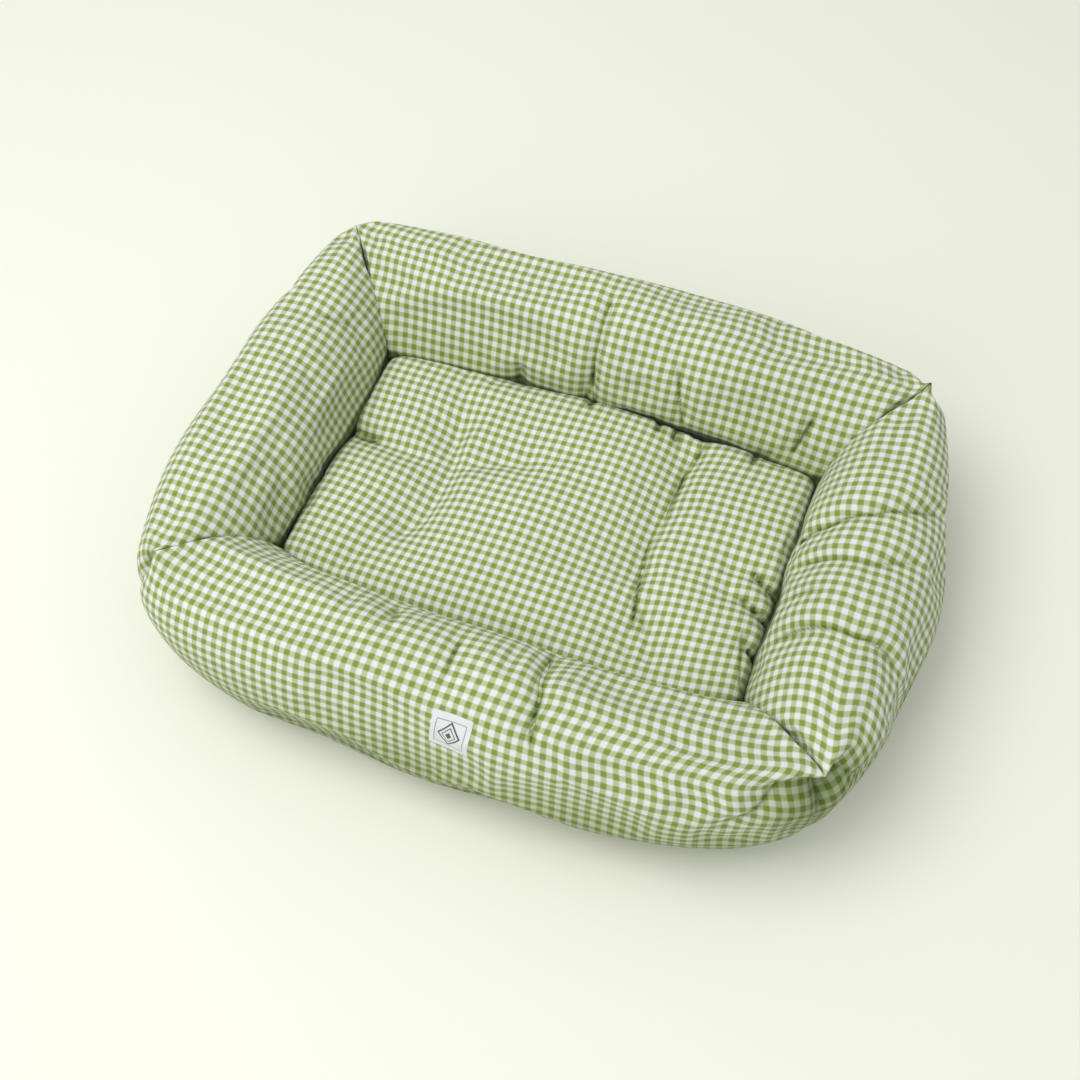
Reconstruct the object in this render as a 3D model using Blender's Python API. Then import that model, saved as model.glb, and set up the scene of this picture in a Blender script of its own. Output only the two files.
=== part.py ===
"""Pet cushion bed: four stuffed bolster walls sewn round a nest, with a lift-out cushion.

Metres, +Z up. The origin is the middle of the bed's footprint on the floor, +X runs along the
long walls and the front wall, which carries the maker's label, faces -Y.
"""
import math

import bmesh
import bpy
from mathutils import Euler, Matrix, Vector

# ---- driving dimensions -------------------------------------------------------------------
TIP_X = 0.295            # pointed top corners, half their distance along X
TIP_BACK_Y = 0.2105      # the two back corners
TIP_FRONT_Y = -0.1915    # the two front corners
TIP_Z = 0.148            # height of the pointed corners
CREST_Z = 0.162          # height of the walls half way along
SEAM_Z = 0.0022          # height at which the wall covers meet the base
WIDEST_Z = 0.080         # height at which a wall is widest

CLOTH = 0.0012           # thickness of a cover, which is quilted cotton
GAP = 0.0004             # left between pieces that touch
FILL_DEPTH = 0.0070      # how far inside a wall's outer face its stuffing begins
BASE = 0.0016            # thickness of the non-slip base

# How far each wall's inner and outer faces lie from the line between its two corner tips.
# The belly is the power of the curve by which the outer face bulges between the corners.
WALLS = {
    "front": {"inner": 0.0455, "outer": 0.0835, "corner": 0.0735, "belly": 3.0},
    "back": {"inner": 0.0735, "outer": 0.0645, "corner": 0.0870, "belly": 3.0},
    "left": {"inner": 0.0735, "outer": 0.0620, "corner": 0.0700, "belly": 2.4},
    "right": {"inner": 0.0735, "outer": 0.0620, "corner": 0.0700, "belly": 2.4},
}
CREST_POWER = 2.4        # the same for the height of the crest
CORNER_OUT = 0.018       # how far the rounded lower corners stand out past the tips
SEATED = 0.43            # share of a corner seam's height that lies beside the cushion

AROUND = 20              # facets round a wall's section, an even number
ALONG = 12               # facets along a wall
FILL_AROUND = 14         # facets round its stuffing

CUSHION_X = 0.2196       # half length of the cushion
CUSHION_SEAM_Z = 0.050   # height of the seam round its edge
CUSHION_TOP_Z = 0.084
TOP_BOXINESS = 12        # a high power keeps the shoulders full, where the walls press
BOTTOM_BOXINESS = 7      # the underside is rounder
CUSHION_BOTTOM_Z = 0.0062
NEST_CLEARANCE = 0.0015  # between the cushion's edge and the walls

ZIP_X = -0.2000          # the zip's centre line, on the cushion's lower left slope
ZIP_LENGTH = 0.180
ZIP_OPENING = 0.0064     # half the width of the slot the zip closes
COIL_R = 0.0009
COIL_X = 0.0016          # from the centre line to each coil's middle
TAPE = 0.0006
SLIDER_LENGTH = 0.012
SLIDER_HALF_WIDTH = 0.0042
PLATE = 0.0009           # thickness of each of the slider's plates
PULL_LENGTH = 0.0100

LABEL_WIDTH = 0.034
LABEL_HEIGHT = 0.035
LABEL_X = 0.017
LABEL_TURN = 0.638       # where the label's middle lies round the front wall's section

GINGHAM = (0.44, 0.56, 0.24)
CUSHION_GREEN = (0.47, 0.59, 0.27)
FIBRE = (0.90, 0.90, 0.87)
LINING = (0.62, 0.68, 0.46)
GRIP = (0.30, 0.31, 0.27)
LABEL = (0.93, 0.93, 0.90)
TAPE_GREEN = (0.36, 0.47, 0.20)
NICKEL = (0.68, 0.68, 0.66)


# ---- scene, materials and plain solids ----------------------------------------------------
def clear_scene():
    for thing in list(bpy.data.objects):
        bpy.data.objects.remove(thing, do_unlink=True)


def new_collection(name):
    collection = bpy.data.collections.new(name)
    bpy.context.scene.collection.children.link(collection)
    return collection


def material(name, colour, roughness, metallic=0.0):
    made = bpy.data.materials.new(name)
    made.use_nodes = True
    shader = made.node_tree.nodes["Principled BSDF"]
    shader.inputs["Base Color"].default_value = (*colour, 1.0)
    shader.inputs["Roughness"].default_value = roughness
    shader.inputs["Metallic"].default_value = metallic
    return made


def finish_mesh(name, mesh_data, collection, look, smooth=True):
    """Turn a bmesh into a named object with its faces pointing out."""
    bmesh.ops.recalc_face_normals(mesh_data, faces=mesh_data.faces)
    mesh = bpy.data.meshes.new(name)
    mesh_data.to_mesh(mesh)
    mesh_data.free()
    if smooth:
        mesh.shade_smooth()
        mesh.set_sharp_from_angle(angle=math.radians(50))
    mesh.materials.append(look)
    thing = bpy.data.objects.new(name, mesh)
    collection.objects.link(thing)
    return thing


def skin_between(name, top, bottom, collection, look):
    """A closed solid between two grids of points that have the same rows and columns."""
    made = bmesh.new()
    upper = [[made.verts.new(p) for p in row] for row in top]
    lower = [[made.verts.new(p) for p in row] for row in bottom]
    rows, columns = len(top), len(top[0])
    for i in range(rows - 1):
        for j in range(columns - 1):
            made.faces.new((upper[i][j], upper[i][j + 1], upper[i + 1][j + 1], upper[i + 1][j]))
            made.faces.new((lower[i][j], lower[i + 1][j], lower[i + 1][j + 1], lower[i][j + 1]))
    rim = [(0, j) for j in range(columns)]
    rim += [(i, columns - 1) for i in range(1, rows)]
    rim += [(rows - 1, j) for j in range(columns - 2, -1, -1)]
    rim += [(i, 0) for i in range(rows - 2, 0, -1)]
    for (a, b), (c, d) in zip(rim, rim[1:] + rim[:1]):
        made.faces.new((upper[c][d], upper[a][b], lower[a][b], lower[c][d]))
    return finish_mesh(name, made, collection, look)


def loft(name, rings, collection, look):
    """A closed solid through rings that are open chains: the chain's ends are joined."""
    made = bmesh.new()
    lines = [[made.verts.new(p) for p in ring] for ring in rings]
    count = len(rings[0])
    for first, second in zip(lines, lines[1:]):
        for j in range(count):
            k = (j + 1) % count
            made.faces.new((first[j], first[k], second[k], second[j]))
    for line in (lines[0], lines[-1]):
        for j in range(count // 2 - 1):
            made.faces.new((line[j], line[j + 1], line[count - 2 - j], line[count - 1 - j]))
        if count % 2:
            middle = count // 2
            made.faces.new((line[middle - 1], line[middle], line[middle + 1]))
    return finish_mesh(name, made, collection, look)


def flat_panel(name, outline, low, high, collection, look):
    """A flat sheet with the outline of a closed list of (x, y) points."""
    made = bmesh.new()
    face = made.faces.new([made.verts.new((x, y, low)) for x, y in outline])
    raised = bmesh.ops.extrude_face_region(made, geom=[face])["geom"]
    moved = [v for v in raised if isinstance(v, bmesh.types.BMVert)]
    bmesh.ops.translate(made, verts=moved, vec=(0, 0, high - low))
    return finish_mesh(name, made, collection, look, smooth=False)


# ---- the bolster walls --------------------------------------------------------------------
def power(value, exponent):
    return math.copysign(abs(value) ** exponent, value)


def oval(turn, inner, outer, top):
    """Section of a stuffed wall: turn runs 0 at the inner seam, 0.5 at the crest, 1 outside."""
    depth = WIDEST_Z - SEAM_Z
    lowest = math.radians(-74)
    angle = lowest + (math.pi - 2 * lowest) * turn
    rise = math.sin(angle)
    scale = top - WIDEST_Z if rise > 0 else depth / abs(math.sin(lowest))
    reach = (inner + outer) / 2
    return (outer - inner) / 2 - reach * power(math.cos(angle), 0.9), WIDEST_Z + scale * rise


def pinch(turn, corner):
    """Section along a corner seam: a straight inner seam, the pointed tip, a rounded foot."""
    rise = 1 - abs(2 * turn - 1)
    height = SEAM_Z + (TIP_Z - SEAM_Z) * rise
    if turn <= 0.5:
        leaning = max(0.0, (rise - SEATED) / (1 - SEATED))
        tucked = 0.93 + 0.07 * min(1.0, rise / SEATED)
        return -corner * tucked * (1 - leaning), height
    return CORNER_OUT * math.sin(math.pi * (1 - rise) ** 0.85 * 0.92), height


def profile(name, along, turns):
    """A wall's section as (offset outside the tip line, height) at each turn."""
    wall = WALLS[name]
    higher = 1 - abs(along) ** CREST_POWER
    rounding = 1 - abs(along) ** 10
    points = []
    for turn in turns:
        sharp = pinch(turn, wall["corner"])
        soft = oval(turn, wall["corner"], CORNER_OUT, TIP_Z)
        middle = oval(turn, wall["inner"], wall["outer"], CREST_Z)
        wider = 1 - abs(along) ** (wall["belly"] if turn > 0.5 else 3.0)
        end = [a + (b - a) * rounding for a, b in zip(sharp, soft)]
        offset = end[0] + (middle[0] - end[0]) * wider
        points.append((offset, end[1] + (middle[1] - end[1]) * higher))
    return points


def shrunk(points, depth):
    """The section moved inward by depth, towards the stuffing."""
    moved = []
    for i, (offset, height) in enumerate(points):
        before = points[max(0, i - 1)]
        after = points[min(len(points) - 1, i + 1)]
        run = after[0] - before[0]
        rise = after[1] - before[1]
        length = math.hypot(run, rise)
        moved.append((offset + depth * rise / length, height - depth * run / length))
    return moved


def neighbour_corner(name, along):
    """Inset of the corner seam measured along this wall, which the next wall decides."""
    if name in ("front", "back"):
        return WALLS["right" if along > 0 else "left"]["corner"]
    return WALLS["back" if along > 0 else "front"]["corner"]


def placed(name, along, offset, seam, height):
    """World position: seam is how far the corner seam lies past the tip at this turn."""
    if name in ("front", "back"):
        x = along * (TIP_X + seam)
        y = TIP_BACK_Y + offset if name == "back" else TIP_FRONT_Y - offset
        return x, y, height
    middle = (TIP_BACK_Y + TIP_FRONT_Y) / 2
    half = (TIP_BACK_Y - TIP_FRONT_Y) / 2
    x = TIP_X + offset
    return (-x if name == "left" else x), middle + along * (half + seam), height


def wall_section(name, along, depth, inset, turns):
    """One cross-section of a wall in world space, depth below the cover's outer face."""
    corner = neighbour_corner(name, along)
    seams = shrunk([pinch(turn, corner) for turn in turns], depth)
    points = []
    for (offset, height), (seam, _) in zip(shrunk(profile(name, along, turns), depth), seams):
        points.append(placed(name, along, offset, seam - inset, max(height, SEAM_Z)))
    return points


def round_turns():
    return [i / AROUND for i in range(AROUND + 1)]


def stations():
    """Steps from corner to corner, closer together near the corners."""
    even = [2 * i / ALONG - 1 for i in range(ALONG + 1)]
    return [0.45 * math.sin(s * math.pi / 2) + 0.55 * s for s in even]


def wall_cover(name, collection, look):
    outside = [wall_section(name, s, 0.0, GAP, round_turns()) for s in stations()]
    inside = [wall_section(name, s, CLOTH, GAP, round_turns()) for s in stations()]
    return skin_between(f"{name}_wall_cover", outside, inside, collection, look)


def wall_fill(name, collection, look):
    """The stuffing, which stops short of the seams at the wall's foot and corners."""
    turns = [0.03 + 0.94 * i / FILL_AROUND for i in range(FILL_AROUND + 1)]
    rings = [wall_section(name, s * 0.98, FILL_DEPTH, 0.003, turns) for s in stations()]
    return loft(f"{name}_wall_fill", rings, collection, look)


def seam_outline(turn, inset):
    """The closed line on the floor through the same seam of all four walls."""
    outline = []
    order = (("front", 1), ("right", 1), ("back", -1), ("left", -1))
    for name, sense in order:
        for s in stations()[:-1]:
            along = s * sense
            offset = profile(name, along, [turn])[0][0]
            seam = pinch(turn, neighbour_corner(name, along))[0]
            x, y, _ = placed(name, along, offset - inset, seam - inset, 0.0)
            outline.append((x, y))
    return outline


# ---- the lift-out cushion -----------------------------------------------------------------
def nest_edge(name, along):
    """How far inside the tip line a wall's inner face reaches where it is widest."""
    wall = WALLS[name]
    return wall["corner"] + (wall["inner"] - wall["corner"]) * (1 - abs(along) ** 3)


def cushion_edges(x):
    """The front and back edges of the cushion at x, which follow the walls."""
    along = max(-1.0, min(1.0, x / CUSHION_X))
    front = TIP_FRONT_Y + nest_edge("front", along) + NEST_CLEARANCE
    back = TIP_BACK_Y - nest_edge("back", along) - NEST_CLEARANCE
    rounding = 0.012 * abs(along) ** 24
    return front + rounding, back - rounding


def fullness(u, v, boxiness):
    """1 over most of the cushion, falling to 0 at the seam round its edge."""
    return math.sqrt(max(0.0, (1 - abs(u) ** boxiness) * (1 - abs(v) ** boxiness)))


def edge_steps(count):
    """Even steps from -1 to 1, closer together near both ends."""
    return [math.sin(math.pi * (i / count - 0.5)) for i in range(count + 1)]


def cushion_point(u, v, height, inset=0.0):
    """Point of the cushion at u, v, with height above (or below) the seam at its middle."""
    x = u * (CUSHION_X - inset)
    front, back = cushion_edges(x)
    y = (front + back) / 2 + v * ((back - front) / 2 - inset)
    boxiness = TOP_BOXINESS if height > 0 else BOTTOM_BOXINESS
    return x, y, CUSHION_SEAM_Z + height * fullness(u, v, boxiness)


def cushion_grid(columns, rows, height, lift, inset=0.0):
    """Grid over the cushion; lift raises every point."""
    grid = []
    for u in columns:
        line = [cushion_point(u, v, height, inset) for v in rows]
        grid.append([(x, y, z + lift) for x, y, z in line])
    return grid


def cushion_top(collection, look):
    steps, rows = edge_steps(16), edge_steps(12)
    high = CUSHION_TOP_Z - CUSHION_SEAM_Z
    outside = cushion_grid(steps, rows, high, GAP + CLOTH)
    inside = cushion_grid(steps, rows, high, GAP)
    return skin_between("cushion_top_cover", outside, inside, collection, look)


def slot_edge(y, side):
    """x of the cover's edge beside the zip: apart along the zip, together past its ends."""
    y0 = zip_middle_y()
    past = max(0.0, abs(y - y0) - ZIP_LENGTH / 2 - 0.004)
    return ZIP_X + side * max(GAP / 2, ZIP_OPENING - past * 0.8)


def zip_middle_y():
    front, back = cushion_edges(ZIP_X)
    return (front + back) / 2


def cushion_bottom(name, side, collection, look):
    """The underside cover on one side of the zip: 1 is the large panel, -1 the strip."""
    rows = edge_steps(20)
    low = CUSHION_BOTTOM_Z - CUSHION_SEAM_Z
    count = 14 if side > 0 else 4
    grid = []
    for i in range(count + 1):
        share = math.sin(i / count * math.pi / 2)
        line = []
        for v in rows:
            y_at_zip = cushion_point(ZIP_X / CUSHION_X, v, low)[1]
            start = slot_edge(y_at_zip, side) / CUSHION_X
            line.append(cushion_point(start + (side - start) * share, v, low))
        grid.append(line)
    above = [[(x, y, z - GAP) for x, y, z in line] for line in grid]
    below = [[(x, y, z - GAP - CLOTH) for x, y, z in line] for line in grid]
    return skin_between(name, above, below, collection, look)


def cushion_fill(collection, look):
    """The stuffed pad: fuller above than below, where the zip needs room."""
    steps, rows = edge_steps(14), edge_steps(10)
    inset = 0.006
    top = []
    bottom = []
    rise = CUSHION_TOP_Z - CUSHION_SEAM_Z - 0.004
    drop = CUSHION_SEAM_Z - CUSHION_BOTTOM_Z - 0.003
    for u in steps:
        line = [cushion_point(u, v, 0.0, inset)[:2] + (fullness(u, v, BOTTOM_BOXINESS),)
                for v in rows]
        top.append([(x, y, CUSHION_SEAM_Z + 0.002 + rise * body) for x, y, body in line])
        bottom.append([(x, y, CUSHION_SEAM_Z - drop * body ** 3) for x, y, body in line])
    return skin_between("cushion_fill", top, bottom, collection, look)


# ---- the zip along the cushion's lower left slope -------------------------------------------
def box(name, size, centre, collection, look):
    bpy.ops.mesh.primitive_cube_add(size=1.0, location=(0, 0, 0))
    thing = bpy.context.object
    thing.name = name
    thing.data.transform(Matrix.LocRotScale(Vector(centre), None, Vector(size)))
    return filed(thing, collection, look)


def rod_along(axis, name, radius, length, centre, sides, collection, look):
    """A round bar along the X or the Y axis."""
    turn = (0, math.pi / 2, 0) if axis == "X" else (math.pi / 2, 0, 0)
    bpy.ops.mesh.primitive_cylinder_add(vertices=sides, radius=radius, depth=length)
    thing = bpy.context.object
    thing.name = name
    thing.data.transform(Matrix.LocRotScale(Vector(centre), Euler(turn), None))
    thing.data.shade_smooth()
    thing.data.set_sharp_from_angle(angle=math.radians(40))
    return filed(thing, collection, look)


def filed(thing, collection, look):
    for old in list(thing.users_collection):
        old.objects.unlink(thing)
    collection.objects.link(thing)
    thing.data.materials.append(look)
    return thing


def combine(thing, other, operation):
    other.hide_render = True
    other.display_type = "WIRE"
    change = thing.modifiers.new(other.name, "BOOLEAN")
    change.operation = operation
    change.solver = "EXACT"
    change.object = other


def zip_surface(across):
    """Height of the cover's middle layer beside the zip, across from its centre line."""
    u = (ZIP_X - across) / CUSHION_X
    low = CUSHION_BOTTOM_Z - CUSHION_SEAM_Z
    return cushion_point(u, 0.0, low)[2] - GAP - CLOTH / 2


def zip_frame(collection):
    """An empty on the zip's middle: its Y runs along the zip and its -Z points outward."""
    outer, inner = zip_surface(ZIP_OPENING), zip_surface(-ZIP_OPENING)
    frame = bpy.data.objects.new("zip_frame", None)
    frame.location = (ZIP_X, zip_middle_y(), (outer + inner) / 2)
    frame.rotation_euler = (0, math.atan2(outer - inner, 2 * ZIP_OPENING), 0)
    frame.empty_display_size = 0.01
    collection.objects.link(frame)
    return frame


def zip_chain(frame, collection, tape_look, coil_look):
    tape_start = COIL_X + COIL_R + GAP
    tape_end = ZIP_OPENING - 2 * GAP
    coil_length = ZIP_LENGTH - 0.006
    for side, name in ((-1, "outer"), (1, "inner")):
        size = (tape_end - tape_start, ZIP_LENGTH, TAPE)
        centre = (side * (tape_start + tape_end) / 2, 0, 0)
        tape = box(f"zip_{name}_tape", size, centre, collection, tape_look)
        centre = (side * COIL_X, 0, 0)
        coil = rod_along("Y", f"zip_{name}_coil", COIL_R, coil_length, centre, 10,
                         collection, coil_look)
        tape.parent = frame
        coil.parent = frame


def zip_stops(frame, collection, look):
    width = 2 * (COIL_X + COIL_R)
    for end, name in ((-1, "front"), (1, "back")):
        centre = (0, end * (ZIP_LENGTH / 2 - 0.0012), 0)
        stop = box(f"zip_{name}_stop", (width, 0.002, 2.2 * COIL_R), centre, collection, look)
        stop.parent = frame


def zip_slider(frame, collection, cutters, look):
    """The slider at the closed front end, and its pull lying back along the teeth."""
    plate_z = COIL_R + 0.00035 + PLATE / 2
    bar_z = plate_z + PLATE / 2 + 0.0018
    bar_r = 0.00045
    post_x = 0.0022
    outer = box("zip_slider", (2 * SLIDER_HALF_WIDTH, SLIDER_LENGTH, PLATE), (0, 0, -plate_z),
                collection, look)
    pieces = [
        box("slider_inner_plate", (2 * SLIDER_HALF_WIDTH, SLIDER_LENGTH, PLATE),
            (0, 0, plate_z), cutters, look),
        box("slider_web", (0.0007, SLIDER_LENGTH, 2 * plate_z), (0, 0, 0), cutters, look),
        rod_along("X", "slider_bar", bar_r, 2 * post_x, (0, 0, -bar_z), 12, cutters, look),
    ]
    post_height = bar_z + bar_r + 0.0003 - plate_z
    for side in (-1, 1):
        centre = (side * post_x, 0, -plate_z - post_height / 2)
        pieces.append(box(f"slider_post_{side}", (0.0006, 0.0018, post_height), centre,
                          cutters, look))
    outer.parent = frame
    outer.location = (0, -(ZIP_LENGTH / 2 - 0.010), 0)
    for piece in pieces:
        piece.parent = outer
        combine(outer, piece, "UNION")

    eye_r = 0.0014
    pull = rod_along("X", "zip_pull", eye_r, 0.0026, (0, 0, 0), 16, collection, look)
    stem = box("pull_stem", (0.0026, 0.004, 0.0009), (0, 0.0028, 0), cutters, look)
    paddle_length = PULL_LENGTH - 0.004
    paddle = box("pull_paddle", (0.0042, paddle_length, 0.0009),
                 (0, PULL_LENGTH - paddle_length / 2, 0), cutters, look)
    eye = rod_along("X", "pull_eye", bar_r + 0.0003, 0.004, (0, 0, 0), 12, cutters, look)
    pull.parent = outer
    pull.location = (0, 0, -bar_z)
    for piece in (stem, paddle, eye):
        piece.parent = pull
        combine(pull, piece, "DIFFERENCE" if piece is eye else "UNION")


# ---- base, floor and label ------------------------------------------------------------------
def maker_label(collection, look):
    """A small blank woven label sewn flat on the front wall's outer face."""
    turns = [LABEL_TURN + (i / 4 - 0.5) * LABEL_HEIGHT / 0.40 for i in range(5)]
    reach = TIP_X + pinch(LABEL_TURN, WALLS["left"]["corner"])[0]
    steps = [(LABEL_X + (i / 4 - 0.5) * LABEL_WIDTH) / reach for i in range(5)]
    outside = [wall_section("front", s, -GAP - 0.0008, 0.0, turns) for s in steps]
    inside = [wall_section("front", s, -GAP, 0.0, turns) for s in steps]
    return skin_between("maker_label", outside, inside, collection, look)


def build():
    clear_scene()
    parts = new_collection("pet_cushion_bed")
    cutters = new_collection("cutters")
    gingham = material("gingham", GINGHAM, 0.9)
    cushion_cloth = material("cushion_gingham", CUSHION_GREEN, 0.9)
    fibre = material("fibre", FIBRE, 0.95)
    lining = material("lining", LINING, 0.9)
    grip = material("grip_cloth", GRIP, 0.8)
    tape = material("zip_tape", TAPE_GREEN, 0.85)
    nickel = material("nickel", NICKEL, 0.35, 1.0)

    for name in WALLS:
        wall_cover(name, parts, gingham)
        wall_fill(name, parts, fibre)
    flat_panel("base_panel", seam_outline(1.0, 0.0), 0.0, BASE, parts, grip)
    flat_panel("floor_panel", seam_outline(0.0, 0.0060), SEAM_Z, SEAM_Z + CLOTH, parts, lining)
    maker_label(parts, material("woven_label", LABEL, 0.8))

    cushion_top(parts, cushion_cloth)
    cushion_bottom("cushion_bottom_cover", 1, parts, cushion_cloth)
    cushion_bottom("cushion_zip_strip", -1, parts, cushion_cloth)
    cushion_fill(parts, fibre)
    frame = zip_frame(parts)
    zip_chain(frame, parts, tape, material("zip_coil", TAPE_GREEN, 0.5))
    zip_stops(frame, parts, nickel)
    zip_slider(frame, parts, cutters, nickel)


build()
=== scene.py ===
"""Looks of the pet cushion bed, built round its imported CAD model.

Metres, +Z up, in the CAD's own frame. Every cover is a fine grid of points: the plain stuffed
shape comes from a few driving sizes, folds are pressed into it, cloth simulation swells it
between its seams, and the settled grid becomes a cover with a real thickness.
"""
import math

import bpy
import numpy as np
from mathutils import Matrix, Vector


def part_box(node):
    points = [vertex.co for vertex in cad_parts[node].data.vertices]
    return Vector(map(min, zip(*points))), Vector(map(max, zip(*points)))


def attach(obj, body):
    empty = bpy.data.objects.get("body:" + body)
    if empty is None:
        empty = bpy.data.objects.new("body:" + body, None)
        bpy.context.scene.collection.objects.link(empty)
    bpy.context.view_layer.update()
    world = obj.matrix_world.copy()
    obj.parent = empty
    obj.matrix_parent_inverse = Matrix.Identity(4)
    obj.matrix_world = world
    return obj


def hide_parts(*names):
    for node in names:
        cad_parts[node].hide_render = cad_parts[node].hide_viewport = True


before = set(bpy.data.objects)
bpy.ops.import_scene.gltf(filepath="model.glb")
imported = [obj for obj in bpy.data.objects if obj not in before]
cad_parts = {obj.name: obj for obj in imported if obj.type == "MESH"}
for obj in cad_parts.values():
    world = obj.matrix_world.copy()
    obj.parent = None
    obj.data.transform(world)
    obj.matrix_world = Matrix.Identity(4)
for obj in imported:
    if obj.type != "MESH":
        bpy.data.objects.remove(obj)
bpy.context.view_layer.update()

# ---- driving sizes, the same as the CAD's ----
TIP_X = 0.295            # pointed top corners, half their distance along X
TIP_BACK_Y = 0.2105
TIP_FRONT_Y = -0.1915
TIP_Z = 0.148
CREST_Z = 0.162
SEAM_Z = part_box("floor_panel")[0].z
WIDEST_Z = 0.080
CLOTH = 0.0011           # thickness of a cover
GAP = 0.0003

# Each wall's reach inside and outside the line between its two tips. Belly and crest are the
# powers of the curves by which its outside and its height fall away towards its two ends, and
# peak is where along it the outside bulges most.
WALLS = {
    "front": {"inner": 0.0455, "outer": 0.0795, "corner": 0.0735, "belly": (4.2, 2.6),
              "peak": 0.0, "crest": (1.7, 2.4)},
    "back": {"inner": 0.0735, "outer": 0.0555, "corner": 0.0870, "belly": (2.8, 2.0),
             "peak": 0.0, "crest": (4.0, 2.6)},
    "left": {"inner": 0.0745, "outer": 0.0595, "corner": 0.0700, "belly": (1.8, 1.45),
             "peak": -0.12, "crest": (2.4, 2.4)},
    "right": {"inner": 0.0735, "outer": 0.0648, "corner": 0.0700, "belly": (1.7, 1.35),
              "peak": 0.0, "crest": (2.4, 2.4)},
}
# How far a corner's foot stands out past its tip, how deep the tuck is under the tip, how round
# the tip is, the height of the ear of seam that stands up on it and is painted dark as shade, how
# the stuffing pulls the tip out of place, and the painted shade in the tuck: how dark, how far
# below the tip, and its reach.
CORNERS = {
    ("front", "left"): {"out": 0.0148, "tuck": 0.0025, "blunt": 0.03, "ear": 0.0,
                        "pull": (0.006, 0, 0), "shade": (0.75, 0.014, 0.013)},
    ("front", "right"): {"out": 0.0078, "tuck": 0.014, "blunt": 0.03, "ear": 0.0,
                         "pull": (0.008, 0.006, -0.003), "shade": (0.56, 0.045, 0.058)},
    ("back", "right"): {"out": 0.0070, "tuck": 0.004, "blunt": 0.03, "ear": 0.0055,
                        "pull": (-0.003, -0.001, 0.001), "shade": (0.2, 0.030, 0.030)},
    ("back", "left"): {"out": 0.0060, "tuck": 0.003, "blunt": 0.12, "ear": 0.0,
                       "pull": (0.003, 0.004, 0.003), "shade": (0.45, 0.016, 0.014)},
}
RING = (("front", 1), ("right", 1), ("back", -1), ("left", -1))
FOOT_TUCK = 0.019        # the base's corners lie this far in under the tips
SEATED = 0.43            # share of a corner seam's height that lies beside the cushion
GRID = 0.0058            # spacing of the grids that the simulation runs on
FINER = 3                # each of their steps is divided into this many on the final cloth
SHOULDER = 0.020         # a wall's end rounds down into its corner seam over this length
WALL_GIRTH = 0.42        # about the length of cloth round a wall
PULL_REACH = 0.065       # a corner's pull fades out over this distance from its tip
TUCK_REACH = 0.055       # and its tuck over this distance along the wall
EAR_WIDTH = 0.0040
FIBRE_INSET = 0.0045     # the fibre lies this far under the cloth
FIBRE_ENDS = 7           # grid lines left out of the fibre at each end of a wall
WALL_FILL = 0.8

CHECK = 0.010            # one green and one white stripe of the gingham

CUSHION_X = 0.2262
CUSHION_SEAM_Z = 0.050
CUSHION_TOP_Z = 0.084
CUSHION_BOTTOM_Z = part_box("cushion_bottom_cover")[0].z + CLOTH
CUSHION_HALF_Y = 0.135   # about half its depth, for spacing its grids
CUSHION_FILL = 0.6
CUSHION_ENDS = 0.16      # its folds fade out over this share of their length
BOXY = 30                # how square the shoulders of its top are
UNDER_BOXY = 7           # and those of its underside
PRESSED = 0.0050         # how far the cushion's edge presses under the walls' bellies
CUSHION_SHRINK = 1.05    # its cloth is gathered, so that its checks look smaller
ZIP_X = -0.2000
ZIP_Y = (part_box("zip_outer_tape")[0].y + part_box("zip_outer_tape")[1].y) / 2
ZIP_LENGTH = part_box("zip_outer_tape")[1].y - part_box("zip_outer_tape")[0].y
ZIP_OPENING = 0.0064     # half the width of the slot the zip closes

LABEL_HALF = 0.0174      # half the width of the label
LABEL_TALL = 1.1         # its height as a share of its width
BASE_ROUNDED = 0.012     # the base's corners are drawn in by this share

WHITE = (0.775, 0.795, 0.805)
HALF_TONE = (0.49, 0.55, 0.31)
GREEN = (0.240, 0.303, 0.061)

CAMERA_PLACE = (0.26615, -0.60063, 1.10916)
CAMERA_ANGLES = (24.8, 58.5, -3.8)      # azimuth, elevation and roll in degrees
CAMERA_LENS = 43.67

CLOTH_RULES = {
    "quality": 5, "mass": 0.3, "tension_stiffness": 15, "compression_stiffness": 12,
    "shear_stiffness": 6, "bending_stiffness": 1.5, "tension_damping": 12,
    "compression_damping": 12, "shear_damping": 10, "air_damping": 4,
    "vertex_group_mass": "held", "pin_stiffness": 4, "use_pressure": True,
}

# ---- folds: points along the wall and round it from the crest, then depth and width ----
# A wall's own coordinates: u from its middle along it, v from its crest, positive outside. A
# fourth number makes a fold steeper on its right (positive) or its left, looking along it. The
# tables are in millimetres, apart from that fourth number, which is a share.
def in_metres(table):
    if isinstance(table, dict):
        return {wall: in_metres(folds) for wall, folds in table.items()}
    return [([(u / 1000, v / 1000) for u, v in points], depth / 1000, width / 1000, *lean)
            for points, depth, width, *lean in table]


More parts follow.
